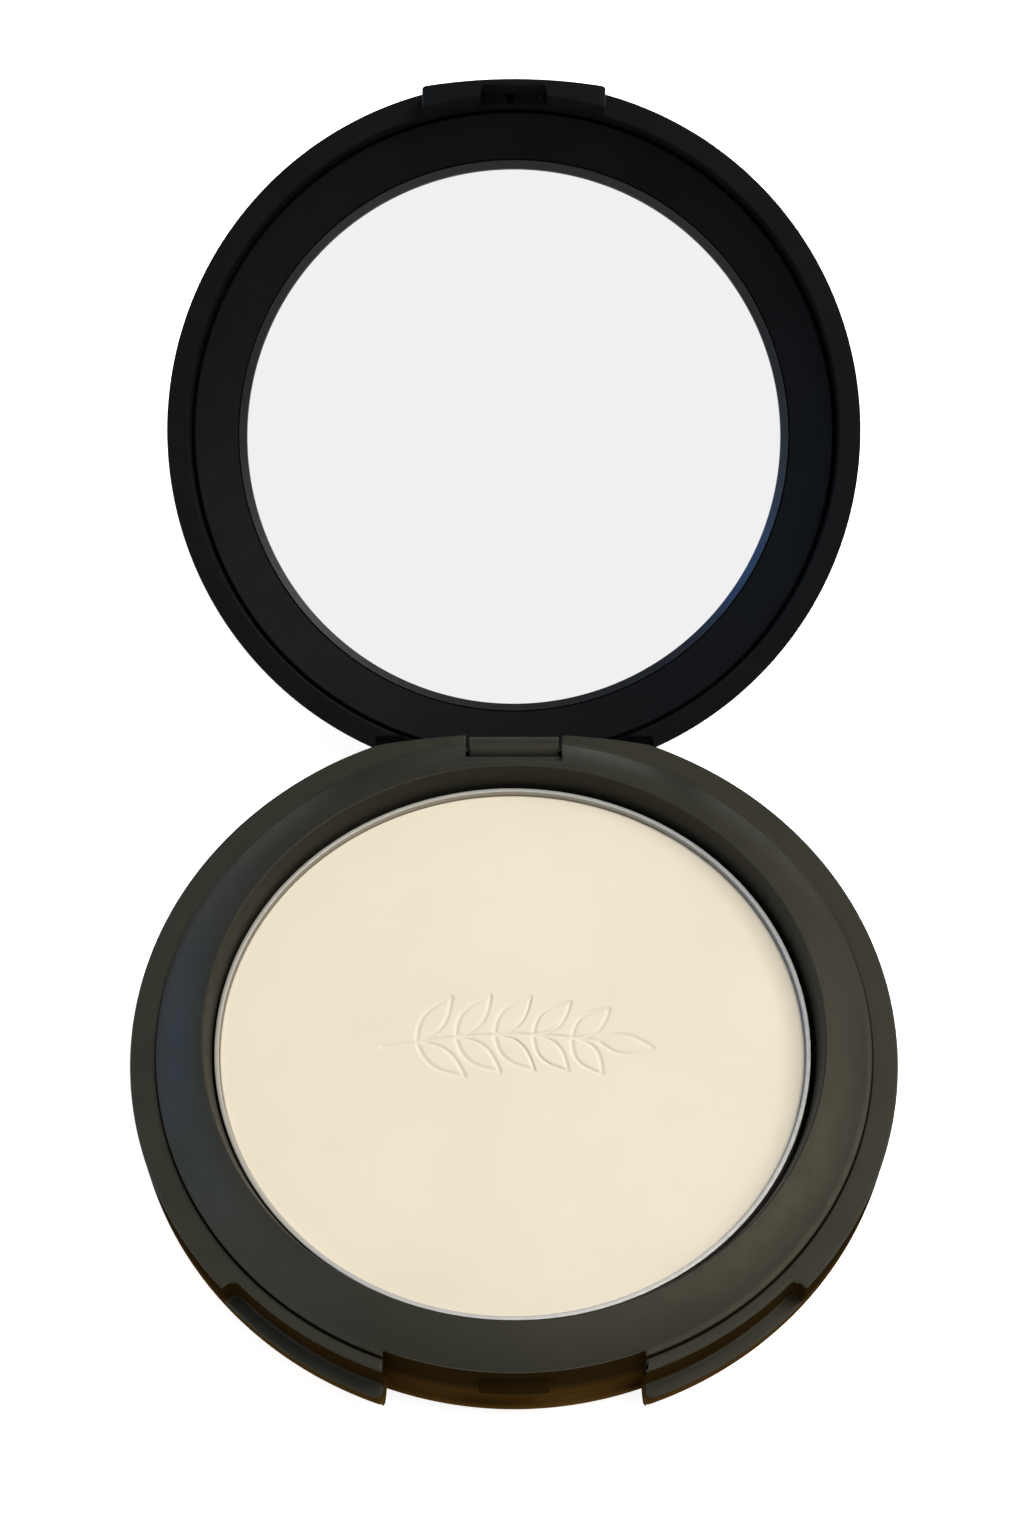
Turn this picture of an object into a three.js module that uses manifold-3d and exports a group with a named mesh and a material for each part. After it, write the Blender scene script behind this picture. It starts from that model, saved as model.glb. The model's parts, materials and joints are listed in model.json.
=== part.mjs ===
// A round pressed-powder compact, standing open. Millimetres, +Z up.
// The origin is the centre of the base's underside; the thumb gap faces -Y and the hinge is at +Y.
import * as THREE from 'three';
import { mergeVertices } from 'three/addons/utils/BufferGeometryUtils.js';
import Module from 'manifold-3d';

const wasm = await Module();
wasm.setup();

// ---- driving dimensions ----
const BODY_R = 38;                 // outer radius of base and lid
const LEDGE_Z = 9;                 // height of the flat ledge that the lid's rim closes on
const LID_T = 7.8;                 // lid, from rim plane to top
const RIM_GAP = 0.2;               // clearance between ledge and lid rim
const OPEN_DEG = 143.8;            // how far the lid stands open, resting on its stop
const EDGE = 0.2;                  // small chamfer on moulded edges
const FIT = 0.1;                   // clearance between pieces that are assembled together
const WALL = 1.3;                  // plate thickness of both shells

const FOOT_R = 32.4;               // flat part of the underside and of the lid's top
const CORNER_RISE = 4.6;           // height of the rounded corner between wall and flat
const BACK_Y = 36.5;               // flat cut across the back at the hinge

const RING_R = 35.4;               // where the collar steps up from the ledge
const STEP = 0.5;                  // height of that step
const COLLAR_SLOPE = [[34.4, 0.17], [33, 0.65], [31.8, 1.27]]; // radius, height above the step
const WELL_R = 30.7;               // upper edge of the well
const COLLAR_RISE = 2.3;           // well edge above the ledge
const PAN_R = 29.5;                // a standard 59 mm godet
const PAN_T = 0.5;
const PAN_RIM_Z = LEDGE_Z - 0.35;
const PAN_FLOOR_Z = 3.9;           // underside of the pan
const POWDER_DROP = 0.7;           // powder below the pan's rim
const POWDER_EDGE = [[0, -0.35], [-0.12, -0.1], [-0.45, 0]];   // rounding, from its top corner
const TRAY_FLOOR_Z = PAN_FLOOR_Z - 0.3;
const TRAY_FLOOR_T = 1.1;
const WELL_WALL_R = PAN_R + 0.25;
const SKIRT_R = 33.6;              // inside of the tray's skirt

const GAP_HALF_X = 11.9;           // thumb gap
const GAP_DEPTH = 5;
const GAP_WALL_TOP_R = 34.9;
const GAP_WALL_FOOT_R = 35.4;
const GAP_FLOOR_R = 36.4;
const SCOOP_FOOT = [34.9, 0.5];    // where the scooped wall under the gap runs out
const REBATE_R = 36.6;             // finger rebates on both sides of the gap
const REBATE_DEPTH = 3.4;
const REBATE_END_DEG = 45.2;

const LUG_HALF_X = 3.2;            // catch lug on the gap's wall
const LUG_TIP_R = 35.95;
const LUG_Z = [LEDGE_Z - 2.4, LEDGE_Z - 1.1];

const TAB_HALF_X = 9.9;            // lid tab that drops into the gap
const TAB_DROP = 3.3;
const TAB_R = [35.6, 37.4];         // inner face, and outer face on the middle line
const TAB_FACE_R = 60;             // the outer face is flatter than the body's round wall
const TAB_RECESS = { foot: 3.4, mouth: 3.65, depth: 1.1 };

const HINGE = { y: 35, z: LEDGE_Z - 1.2 };
const PIN_R = 0.5;
const PIN_HOLE_R = 0.55;
const PIN_X = [-12, 12.6];
const PIN_HOLE_X = [-12.2, 16];    // blind on the left, open on the right
const BARREL_R = 1.5;
const BARREL_HALF_X = 4.9;
const NOTCH_HALF_X = 5.2;
const BARREL_ROOM_R = 1.8;
const NOTCH_COVE = [[-3.9, 3.4], [-3.1, 2.55], [-2.4, 1.9], [-1.85, 1.5], [-1.8, 0.3]];
const NOTCH_FLOOR_Y = [-1.6, 2];    // where the notch's floor starts to slope, and levels out
const WEB_FRONT = [[0.7, 4], [0.7, 2.9], [-1.1, 2.9], [-BARREL_R, 2.4]];
const SWING_GAP = 0.15;            // clearance between base and lid at the open stop
const BLOCK_HALF_X = 14;           // solid hinge block inside the base
const BLOCK_Y = 32.6;
const BLOCK_TOP_Z = LEDGE_Z - 0.35;
const RELIEF_HALF_X = 15.2;        // the lid's back edge is cut away inside this

const STEP_WALL_R = 35.6;          // inner wall of the lid's rim
const BAND = { outer: [35.15, 1.9], inner: [30.7, 4.05] };   // sloping face round the mirror
const MIRROR_SIGHT_R = 29.8;
const MIRROR_R = 32.7;
const MIRROR_Z = [5, 6.15];        // glass, measured from the rim plane
const TAPE_R = 30;
const TAPE_Z = [6.2, 6.45];

const LABEL = { r: 11, y: -17, z: [0.1, 0.25], recess: 0.3 };
const GLUE = { r: 3, ring: 16, count: 4 };

const ROUND = 72;                  // facets of the large turned shapes
const SMALL_ROUND = 24;
const FAR = 60;                    // reaches past the whole object
const RIM_Z = LEDGE_Z + RIM_GAP;
const RAD = Math.PI / 180;

const plastic = (color) => new THREE.MeshStandardMaterial({ color, roughness: 0.55, metalness: 0 });
const BASE_BLACK = plastic(0x3a3a32);
const LID_BLACK = plastic(0x17191b);
const POWDER = new THREE.MeshStandardMaterial({ color: 0xeee5cf, roughness: 0.95, metalness: 0 });
const PAN_METAL = new THREE.MeshStandardMaterial({ color: 0xc8c4bc, roughness: 0.3, metalness: 1 });
const STEEL = new THREE.MeshStandardMaterial({ color: 0xb9bbbd, roughness: 0.3, metalness: 1 });
const MIRROR = new THREE.MeshStandardMaterial({ color: 0xf2f2f2, roughness: 0.03, metalness: 1 });
const TAPE = new THREE.MeshStandardMaterial({ color: 0xe8e8e4, roughness: 0.9, metalness: 0 });
const GLUE_CLEAR = new THREE.MeshStandardMaterial({ color: 0xe4ddc8, roughness: 0.5, metalness: 0 });
const PAPER = new THREE.MeshStandardMaterial({ color: 0xefefec, roughness: 0.8, metalness: 0 });

// ---- solids ----
function solid(geometry) {
  const bare = geometry.clone();
  bare.deleteAttribute('normal');
  bare.deleteAttribute('uv');
  const merged = mergeVertices(bare, 1e-4);
  const triangles = [];
  for (let i = 0; i < merged.index.count; i += 3) {
    const [a, b, c] = [0, 1, 2].map((k) => merged.index.getX(i + k));
    if (a !== b && b !== c && c !== a) triangles.push(a, b, c);
  }
  return new wasm.Manifold(new wasm.Mesh({
    numProp: 3,
    vertProperties: new Float32Array(merged.attributes.position.array),
    triVerts: new Uint32Array(triangles),
  }));
}

function area(points) {
  return points.reduce((sum, [r, z], i) => {
    const [r2, z2] = points[(i + 1) % points.length];
    return sum + (r * z2 - r2 * z) / 2;
  }, 0);
}

// Turns a closed outline of [radius, height] points about the Z axis.
function turned(outline, facets = ROUND) {
  const points = area(outline) > 0 ? outline : [...outline].reverse();
  const closed = points.map(([r, z]) => new THREE.Vector2(r, z));
  closed.push(closed[0].clone());
  return solid(new THREE.LatheGeometry(closed, facets).rotateX(Math.PI / 2));
}

function disc(r, [low, high], facets = ROUND) {
  return turned([[0, low], [r, low], [r, high], [0, high]], facets);
}

function box([x0, x1], [y0, y1], [z0, z1]) {
  const shape = new THREE.BoxGeometry(x1 - x0, y1 - y0, z1 - z0);
  return solid(shape.translate((x0 + x1) / 2, (y0 + y1) / 2, (z0 + z1) / 2));
}

// A prism over an outline in the XY plane.
function upright(outline, [low, high]) {
  const shape = new THREE.Shape(outline.map(([x, y]) => new THREE.Vector2(x, y)));
  const depth = high - low;
  return solid(new THREE.ExtrudeGeometry(shape, { depth, bevelEnabled: false }).translate(0, 0, low));
}

// A prism along X over an outline of [y, z] points measured from the hinge axis.
function acrossHinge(outline, [x0, x1]) {
  const shape = new THREE.Shape(outline.map(([y, z]) => new THREE.Vector2(y, z)));
  const prism = new THREE.ExtrudeGeometry(shape, { depth: x1 - x0, bevelEnabled: false });
  const axes = [new THREE.Vector3(0, 1, 0), new THREE.Vector3(0, 0, 1), new THREE.Vector3(1, 0, 0)];
  prism.applyMatrix4(new THREE.Matrix4().makeBasis(...axes));
  return solid(prism.translate(x0, HINGE.y, HINGE.z));
}

function hingeCylinder(r, [x0, x1]) {
  const cylinder = new THREE.CylinderGeometry(r, r, x1 - x0, SMALL_ROUND).rotateZ(Math.PI / 2);
  return solid(cylinder.translate((x0 + x1) / 2, HINGE.y, HINGE.z));
}

// The quarter-ellipse corner between an upright wall of radius r and a flat of radius flat.
function corner(r, flat, height, top, steps = 6) {
  return Array.from({ length: steps + 1 }, (_, i) => {
    const a = (i / steps) * 90 * RAD;
    return [flat + (r - flat) * Math.cos(a), height + top * Math.sin(a)];
  });
}

const both = (span) => [[-span[1], -span[0]], span];

// ---- shared cutters ----
const backCut = () => box([-FAR, FAR], [BACK_Y, FAR], [-FAR, FAR]);

function thumbGap() {
  const slope = (GAP_WALL_FOOT_R - GAP_WALL_TOP_R) / (GAP_DEPTH + STEP);
  const floor = LEDGE_Z - GAP_DEPTH;
  const top = LEDGE_Z + GAP_DEPTH;
  const ring = turned([
    [GAP_WALL_FOOT_R, floor], [GAP_FLOOR_R, floor], SCOOP_FOOT, [FAR, SCOOP_FOOT[1]],
    [FAR, top], [GAP_WALL_FOOT_R - slope * (top - floor), top],
  ]);
  return ring.intersect(box([-GAP_HALF_X, GAP_HALF_X], [-FAR, 0], [-FAR, FAR]));
}

function rebate(side) {
  const ring = turned([
    [REBATE_R, LEDGE_Z - REBATE_DEPTH], [FAR, LEDGE_Z - REBATE_DEPTH],
    [FAR, FAR], [REBATE_R, FAR],
  ]);
  const inner = GAP_HALF_X - 1;
  const slope = Math.tan(REBATE_END_DEG * RAD);
  const wedge = [[inner, -inner / slope], [inner, -FAR], [FAR * slope, -FAR]];
  return ring.intersect(upright(wedge.map(([x, y]) => [side * x, y]), [0, FAR]));
}

// At the open stop the flat backs of base and lid meet along a sloping plane. This is that
// plane's height over y, both measured from the hinge axis and seen from the closed lid.
function stopPlane(y) {
  const reach = BACK_Y - HINGE.y + SWING_GAP;
  return (reach - Math.cos(OPEN_DEG * RAD) * y) / Math.sin(OPEN_DEG * RAD);
}

// Everything that the lid's barrel and web sweep through, inside the base.
function hingeNotch() {
  const span = [-NOTCH_HALF_X, NOTCH_HALF_X];
  const [slope, level] = NOTCH_FLOOR_Y;
  const sweep = acrossHinge([
    [NOTCH_COVE[0][0], FAR], ...NOTCH_COVE, [slope, -stopPlane(slope)], [level, -stopPlane(level)],
    [FAR, -stopPlane(level)], [FAR, FAR],
  ], span);
  return sweep.add(hingeCylinder(BARREL_ROOM_R, span));
}

// ---- base ----
function baseOutline(top) {
  const round = corner(BODY_R, FOOT_R, CORNER_RISE, -CORNER_RISE).reverse();
  return [[0, 0], ...round, ...top];
}

function baseShell() {
  const inner = RING_R + FIT / 2;
  const cup = turned([
    ...baseOutline([[BODY_R, LEDGE_Z - EDGE], [BODY_R - EDGE, LEDGE_Z]]),
    [inner, LEDGE_Z],
    ...corner(inner, FOOT_R, CORNER_RISE, -(CORNER_RISE - WALL - FIT)),
    [0, WALL + FIT],
  ]);
  const block = turned(baseOutline([[BODY_R, BLOCK_TOP_Z], [0, BLOCK_TOP_Z]]))
    .intersect(box([-BLOCK_HALF_X, BLOCK_HALF_X], [BLOCK_Y, FAR], [WALL, FAR]));
  const label = disc(LABEL.r + 0.4, [-1, LABEL.recess], SMALL_ROUND * 2).translate([0, LABEL.y, 0]);
  return [thumbGap(), rebate(1), rebate(-1), backCut(), hingeNotch(),
    hingeCylinder(PIN_HOLE_R, PIN_HOLE_X), label]
    .reduce((body, cut) => body.subtract(cut), cup.add(block));
}

function baseTray() {
  const low = TRAY_FLOOR_Z - TRAY_FLOOR_T;
  const footZ = WALL + 2 * FIT;
  const edge = LEDGE_Z + COLLAR_RISE;
  const step = LEDGE_Z + STEP;
  const skirt = RING_R - FIT / 2;
  const wallR = WELL_R + 0.25;
  const dish = turned([
    [0, low], [WELL_WALL_R - 0.15, low], [WELL_WALL_R - 0.15, footZ], [wallR, footZ],
    [wallR, edge - 1.5], [SKIRT_R, LEDGE_Z - 0.2], [SKIRT_R, LEDGE_Z - GAP_DEPTH + 0.2],
    [skirt, LEDGE_Z - GAP_DEPTH + 0.2], [skirt, step - EDGE], [skirt - EDGE, step],
    ...COLLAR_SLOPE.map(([r, z]) => [r, step + z]), [wallR, edge - 0.04], [WELL_R, edge], [WELL_R - 0.3, edge - 0.4], [WELL_WALL_R + 0.05, PAN_RIM_Z + 0.1],
    [WELL_WALL_R, TRAY_FLOOR_Z], [0, TRAY_FLOOR_Z],
  ]);
  const blockRoom = box([-BLOCK_HALF_X - FIT, BLOCK_HALF_X + FIT], [BLOCK_Y - FIT, FAR],
    [-FAR, BLOCK_TOP_Z + FIT]);
  return [thumbGap(), hingeNotch(), blockRoom]
    .reduce((body, cut) => body.subtract(cut), dish).add(catchLug());
}

function catchLug() {
  const [low, high] = LUG_Z;
  const root = SKIRT_R + 0.5;
  const ring = turned([[root, low], [LUG_TIP_R - 0.3, low], [LUG_TIP_R, low + 0.3],
    [LUG_TIP_R, high - 0.4], [LUG_TIP_R - 0.4, high], [root, high]]);
  return ring.intersect(box([-LUG_HALF_X, LUG_HALF_X], [-FAR, 0], [-FAR, FAR]));
}

function powderPan() {
  return turned([
    [0, PAN_FLOOR_Z], [PAN_R - 0.8, PAN_FLOOR_Z], [PAN_R, PAN_FLOOR_Z + 0.8], [PAN_R, PAN_RIM_Z],
    [PAN_R - PAN_T, PAN_RIM_Z], [PAN_R - PAN_T, PAN_FLOOR_Z + PAN_T], [0, PAN_FLOOR_Z + PAN_T],
  ]);
}

function powderCake() {
  const r = PAN_R - PAN_T - FIT / 2;
  const top = PAN_RIM_Z - POWDER_DROP;
  const low = PAN_FLOOR_Z + PAN_T + FIT / 2;
  const edge = POWDER_EDGE.map(([dr, dz]) => [r + dr, top + dz]);
  return turned([[0, low], [r, low], ...edge, [0, top]]);
}

function glueDot(i) {
  const a = (i + 0.5) * (360 / GLUE.count) * RAD;
  const span = [TRAY_FLOOR_Z + FIT / 2, PAN_FLOOR_Z - FIT / 2];
  return disc(GLUE.r, span, SMALL_ROUND)
    .translate([GLUE.ring * Math.cos(a), GLUE.ring * Math.sin(a), 0]);
}

// ---- lid, built closed on the base ----
const fromRim = (outline) => outline.map(([r, z]) => [r, RIM_Z + z]);

function lidCover() {
  const under = LID_T - WALL;
  const cap = turned(fromRim([
    [STEP_WALL_R, 0], [BODY_R - EDGE, 0], [BODY_R, EDGE],
    ...corner(BODY_R, FOOT_R, LID_T - CORNER_RISE, CORNER_RISE),
    [0, LID_T], [0, under], [STEP_WALL_R - 1, under], [STEP_WALL_R, under - 1],
  ]));
  const cuts = [backCut(), ...both([BARREL_HALF_X, RELIEF_HALF_X]).flatMap(backRelief)];
  const cover = cuts.reduce((body, cut) => body.subtract(cut), cap.add(lidTab()));
  return cover.add(lidKnuckle()).subtract(hingeCylinder(PIN_HOLE_R, [-FAR, FAR]));
}

function lidTab() {
  const [inner, outer] = TAB_R;
  const root = 0.5;
  const ring = turned(fromRim([
    [inner, -TAB_DROP + EDGE], [inner + EDGE, -TAB_DROP], [BODY_R, -TAB_DROP], [BODY_R, root],
    [inner, root],
  ]));
  const face = turned(fromRim([
    [0, -TAB_DROP], [TAB_FACE_R - EDGE, -TAB_DROP], [TAB_FACE_R, -TAB_DROP + EDGE],
    [TAB_FACE_R, root], [0, root],
  ]), 2 * ROUND).translate([0, TAB_FACE_R - outer, 0]);
  const { foot, mouth, depth } = TAB_RECESS;
  const recess = upright([[-mouth, -inner + 0.6], [-mouth, -inner], [-foot, -inner - depth],
    [foot, -inner - depth], [mouth, -inner], [mouth, -inner + 0.6]], [0, RIM_Z]);
  const width = box([-TAB_HALF_X, TAB_HALF_X], [-FAR, 0], [-FAR, FAR]);
  return ring.intersect(face).intersect(width).subtract(recess);
}

// What the base's back edge sweeps out of the lid, beside the barrel.
function backRelief(span) {
  const wedge = acrossHinge([[-3, -3], [9, -3], [9, stopPlane(9)], [-3, stopPlane(-3)]], span);
  const sweptR = Math.hypot(BACK_Y - HINGE.y, LEDGE_Z - HINGE.z) + SWING_GAP;
  return [wedge, hingeCylinder(sweptR, span)];
}

// Barrel and web, which hang from the lid's back wall into the base's notch.
function lidKnuckle() {
  const span = [-BARREL_HALF_X, BARREL_HALF_X];
  const back = BACK_Y - HINGE.y;
  const web = acrossHinge([[-BARREL_R, 0], [back, 0], [back, WEB_FRONT[0][1]], ...WEB_FRONT], span);
  return web.add(hingeCylinder(BARREL_R, span));
}

function mirrorFrame() {
  const r = STEP_WALL_R - FIT;
  const top = LID_T - WALL - FIT;
  return turned(fromRim([
    BAND.inner, BAND.outer, [r, BAND.outer[1] + 0.35], [r, top - 1], [r - 1, top],
    [MIRROR_R + 0.3, top], [MIRROR_R + 0.3, MIRROR_Z[0] - FIT / 2],
    [MIRROR_SIGHT_R, MIRROR_Z[0] - FIT / 2], [MIRROR_SIGHT_R, MIRROR_Z[0] - 0.25],
  ]));
}

const lidDisc = (r, [low, high]) => disc(r, [RIM_Z + low, RIM_Z + high]);

// ---- assembly ----
function mesh(name, body, material) {
  const { vertProperties, triVerts } = body.getMesh();
  const geometry = new THREE.BufferGeometry();
  geometry.setAttribute('position', new THREE.BufferAttribute(new Float32Array(vertProperties), 3));
  geometry.setIndex(new THREE.BufferAttribute(new Uint32Array(triVerts), 1));
  geometry.computeVertexNormals();
  const made = new THREE.Mesh(geometry, material);
  made.name = name;
  return made;
}

const compact = new THREE.Group();
compact.add(
  mesh('base_shell', baseShell(), BASE_BLACK),
  mesh('base_tray', baseTray(), BASE_BLACK),
  mesh('powder_pan', powderPan(), PAN_METAL),
  mesh('powder_cake', powderCake(), POWDER),
  mesh('hinge_pin', hingeCylinder(PIN_R, PIN_X), STEEL),
  mesh('bottom_label', disc(LABEL.r, LABEL.z, SMALL_ROUND * 2).translate([0, LABEL.y, 0]), PAPER),
);
for (let i = 0; i < GLUE.count; i += 1) {
  compact.add(mesh(`pan_glue_dot_${i + 1}`, glueDot(i), GLUE_CLEAR));
}

// The lid's pieces are modelled closed, then turned open together about the hinge axis.
const closedLid = new THREE.Group();
closedLid.position.set(0, -HINGE.y, -HINGE.z);
closedLid.add(
  mesh('lid_cover', lidCover(), LID_BLACK),
  mesh('mirror_frame', mirrorFrame(), LID_BLACK),
  mesh('mirror_glass', lidDisc(MIRROR_R, MIRROR_Z), MIRROR),
  mesh('mirror_tape', lidDisc(TAPE_R, TAPE_Z), TAPE),
);
const lid = new THREE.Group();
lid.position.set(0, HINGE.y, HINGE.z);
lid.rotation.x = -OPEN_DEG * RAD;
lid.add(closedLid);
compact.add(lid);

export default compact;
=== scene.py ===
"""A round black powder compact, standing open, on a pale studio floor."""

import json
import math

import bmesh
import bpy
import numpy as np
from mathutils import Matrix, Vector


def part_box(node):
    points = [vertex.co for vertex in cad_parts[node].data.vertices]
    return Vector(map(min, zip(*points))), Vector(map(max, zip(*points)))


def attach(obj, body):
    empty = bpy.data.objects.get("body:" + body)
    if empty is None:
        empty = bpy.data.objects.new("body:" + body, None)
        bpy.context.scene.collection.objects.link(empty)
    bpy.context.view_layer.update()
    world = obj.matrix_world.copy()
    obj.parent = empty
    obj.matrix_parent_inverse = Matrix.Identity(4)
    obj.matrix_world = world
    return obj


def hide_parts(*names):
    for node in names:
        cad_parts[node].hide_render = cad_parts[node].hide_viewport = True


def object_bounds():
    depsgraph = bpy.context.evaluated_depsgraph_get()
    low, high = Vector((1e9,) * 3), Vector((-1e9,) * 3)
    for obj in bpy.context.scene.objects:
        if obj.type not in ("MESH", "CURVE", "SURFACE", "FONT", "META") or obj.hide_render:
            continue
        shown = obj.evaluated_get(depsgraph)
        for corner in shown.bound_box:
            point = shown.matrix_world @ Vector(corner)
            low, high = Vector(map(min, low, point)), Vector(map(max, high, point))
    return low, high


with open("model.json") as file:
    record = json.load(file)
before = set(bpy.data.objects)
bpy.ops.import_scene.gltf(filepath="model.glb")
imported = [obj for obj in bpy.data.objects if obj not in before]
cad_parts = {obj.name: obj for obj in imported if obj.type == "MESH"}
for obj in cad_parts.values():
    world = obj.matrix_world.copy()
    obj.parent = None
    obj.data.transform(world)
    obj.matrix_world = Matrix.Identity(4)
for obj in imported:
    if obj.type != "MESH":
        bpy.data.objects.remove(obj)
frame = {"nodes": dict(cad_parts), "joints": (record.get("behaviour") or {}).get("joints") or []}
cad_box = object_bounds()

MM = 0.001
HINGE_JOINT = frame["joints"][0]
HINGE = Vector(HINGE_JOINT["pos_m"]) / MM
OPEN = math.radians(HINGE_JOINT["range_deg"][1])


def node_box(node):
    """Lowest and highest corner of a CAD node, in millimetres."""
    low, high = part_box(node)
    return Vector(low) / MM, Vector(high) / MM


# ---- sizes in millimetres, from the frame and from a few of the design's own numbers ----
SHELL_HIGH = node_box("base_shell")[1]
BODY_R = SHELL_HIGH.x
LEDGE_Z = SHELL_HIGH.z
BACK_Y = 36.5
BACK_ARC_R = 74.0
FOOT_R = 32.4
CORNER_RISE = 4.6
RIM_Z = LEDGE_Z + 0.2
LID_T = 7.8
WALL = 1.3
FIT = 0.1

RING_R = node_box("base_tray")[1].x + FIT / 2
STEP = 0.5
COLLAR_TOP_Z = node_box("base_tray")[1].z
WELL_R = 30.55
PAN_LOW, PAN_HIGH = node_box("powder_pan")
PAN_R = PAN_HIGH.x + 0.1
PAN_RIM = 0.45
PAN_SHIFT = (-0.15, -0.12, 0)
POWDER_TOP_Z = node_box("powder_cake")[1].z
TRAY_FLOOR_Z = PAN_LOW.z - 0.3

TRAY_R = 29.6
TRAY_WALL_R = 30.95
SKIRT_R = 33.6
BLOCK_HALF_X = 14.0
BLOCK_FRONT_Y = 32.6
LABEL_RECESS_R = 11.4
LABEL_Y = -17.0

GAP_HALF_X = 11.9
GAP_DEPTH = 5.0
GAP_CORNER = 0.7
GAP_WALL_R = (35.4, 34.9)
GAP_FLOOR_R = 36.4
GAP_FOOT_Z = 0.5
REBATE_R = 36.6
REBATE_DEPTH = 3.4
REBATE_END = math.radians(45.2)
REBATE_CORNER = 0.8
LUG_HALF_X = 3.2
LUG_TIP_R = 35.95

NOTCH_HALF_X = 5.2
BARREL_ROOM_R = 1.8
NOTCH_COVE = [(-3.9, 3.4), (-3.1, 2.4), (-2.4, 1.82), (-1.85, 1.5), (-1.8, 0.3)]
BARREL_R = 1.5
BARREL_HALF_X = 4.9
PIN_HOLE_R = 0.55
PIN_HOLE_X = (-12.2, 16)
SWING_GAP = 0.15
RELIEF_HALF_X = 15.2

TAB_HALF_X = 9.9
TAB_DROP = 3.3
LID_WALL_R = 35.6
TAB_R = (LID_WALL_R, 37.4)
TAB_FACE_R = 60.0
TAB_RECESS_HALF_X = (3.4, 3.65)
TAB_RECESS_DEPTH = 1.1
MIRROR_Z = 5.0
MIRROR_R = 32.7
MIRROR_T = 1.15
SIGHT_R = 29.8
LIP_R = 30.6

MOTIF_REACH = 17.0
MOTIF_GRID = 0.16
MOTIF_LINE = 0.55
MOTIF_DEPTH = 0.17

ROUND = 288
FAR = 60.0


# ---- outlines ----
def filleted(corners, steps=5):
    """A closed outline from (x, y) or (x, y, fillet radius) corners."""
    out = []
    n = len(corners)
    for i, corner in enumerate(corners):
        p = Vector(corner[:2])
        radius = corner[2] if len(corner) > 2 else 0
        if not radius:
            out.append(tuple(p))
            continue
        u = (Vector(corners[i - 1][:2]) - p).normalized()
        v = (Vector(corners[(i + 1) % n][:2]) - p).normalized()
        half = u.angle(v) / 2
        centre = p + (u + v).normalized() * radius / math.sin(half)
        start = p + u * radius / math.tan(half) - centre
        end = p + v * radius / math.tan(half) - centre
        swing = start.angle_signed(end)
        for k in range(steps + 1):
            turn = Matrix.Rotation(-swing * k / steps, 2)
            out.append(tuple(centre + turn @ start))
    return out


def elliptic_corner(z, rise, steps=24):
    """From the upright wall at height z to the flat, as points from the wall inwards."""
    return [
        (
            FOOT_R + (BODY_R - FOOT_R) * math.cos(math.pi / 2 * k / steps),
            z + rise * math.sin(math.pi / 2 * k / steps),
        )
        for k in range(steps + 1)
    ]


# ---- solids ----
def new_object(name, vertices, faces):
    mesh = bpy.data.meshes.new(name)
    mesh.from_pydata([Vector(v) * MM for v in vertices], [], faces)
    mesh.validate()
    obj = bpy.data.objects.new(name, mesh)
    bpy.context.scene.collection.objects.link(obj)
    tidy_mesh(obj, 0.0)
    return obj


def tidy_mesh(obj, merge_mm):
    """Joins doubled points and turns every face outwards."""
    bm = bmesh.new()
    bm.from_mesh(obj.data)
    if merge_mm:
        bmesh.ops.remove_doubles(bm, verts=bm.verts, dist=merge_mm * MM)
        bmesh.ops.dissolve_degenerate(bm, edges=bm.edges, dist=merge_mm * MM)
    bmesh.ops.recalc_face_normals(bm, faces=bm.faces)
    bm.to_mesh(obj.data)
    bm.free()


def turned(name, outline, segments=ROUND):
    """Turns a closed (radius, height) outline about the Z axis."""
    vertices, rows = [], []
    for r, z in outline:
        if r < 1e-6:
            rows.append([len(vertices)] * segments)
            vertices.append((0, 0, z))
            continue
        rows.append(list(range(len(vertices), len(vertices) + segments)))
        for k in range(segments):
            a = 2 * math.pi * k / segments
            vertices.append((r * math.cos(a), r * math.sin(a), z))
    faces = []
    for low, high in zip(rows, rows[1:] + rows[:1]):
        for k in range(segments):
            m = (k + 1) % segments
            ring = list(dict.fromkeys((low[k], low[m], high[m], high[k])))
            if len(ring) > 2:
                faces.append(ring)
    return new_object(name, vertices, faces)


def prism(name, outline, low, high, place=None):
    """A prism over an outline, from low to high along local Z, mapped by place."""
    n = len(outline)
    vertices = [(x, y, z) for z in (low, high) for x, y in outline]
    faces = [list(range(n))[::-1], list(range(n, 2 * n))]
    faces += [[k, (k + 1) % n, n + (k + 1) % n, n + k] for k in range(n)]
    if place:
        vertices = [place(*v) for v in vertices]
    return new_object(name, vertices, faces)


def block(name, x, y, z):
    return prism(name, [(x[0], y[0]), (x[1], y[0]), (x[1], y[1]), (x[0], y[1])], *z)


def from_hinge(y, z, x):
    return (x, y + HINGE.y, z + HINGE.z)


def across_hinge(name, outline, x):
    """A prism along X over (y, z) points measured from the hinge axis."""
    return prism(name, outline, x[0], x[1], from_hinge)


def hinge_cylinder(name, r, x, segments=48):
    ring = [
        (r * math.cos(2 * math.pi * k / segments), r * math.sin(2 * math.pi * k / segments))
        for k in range(segments)
    ]
    return across_hinge(name, ring, x)


def bake_modifiers(obj):
    """Applies the object's modifiers to its own mesh."""
    graph = bpy.context.evaluated_depsgraph_get()
    made = bpy.data.meshes.new_from_object(obj.evaluated_get(graph))
    old = obj.data
    obj.modifiers.clear()
    obj.data = made
    made.name = obj.name
    bpy.data.meshes.remove(old)


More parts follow.
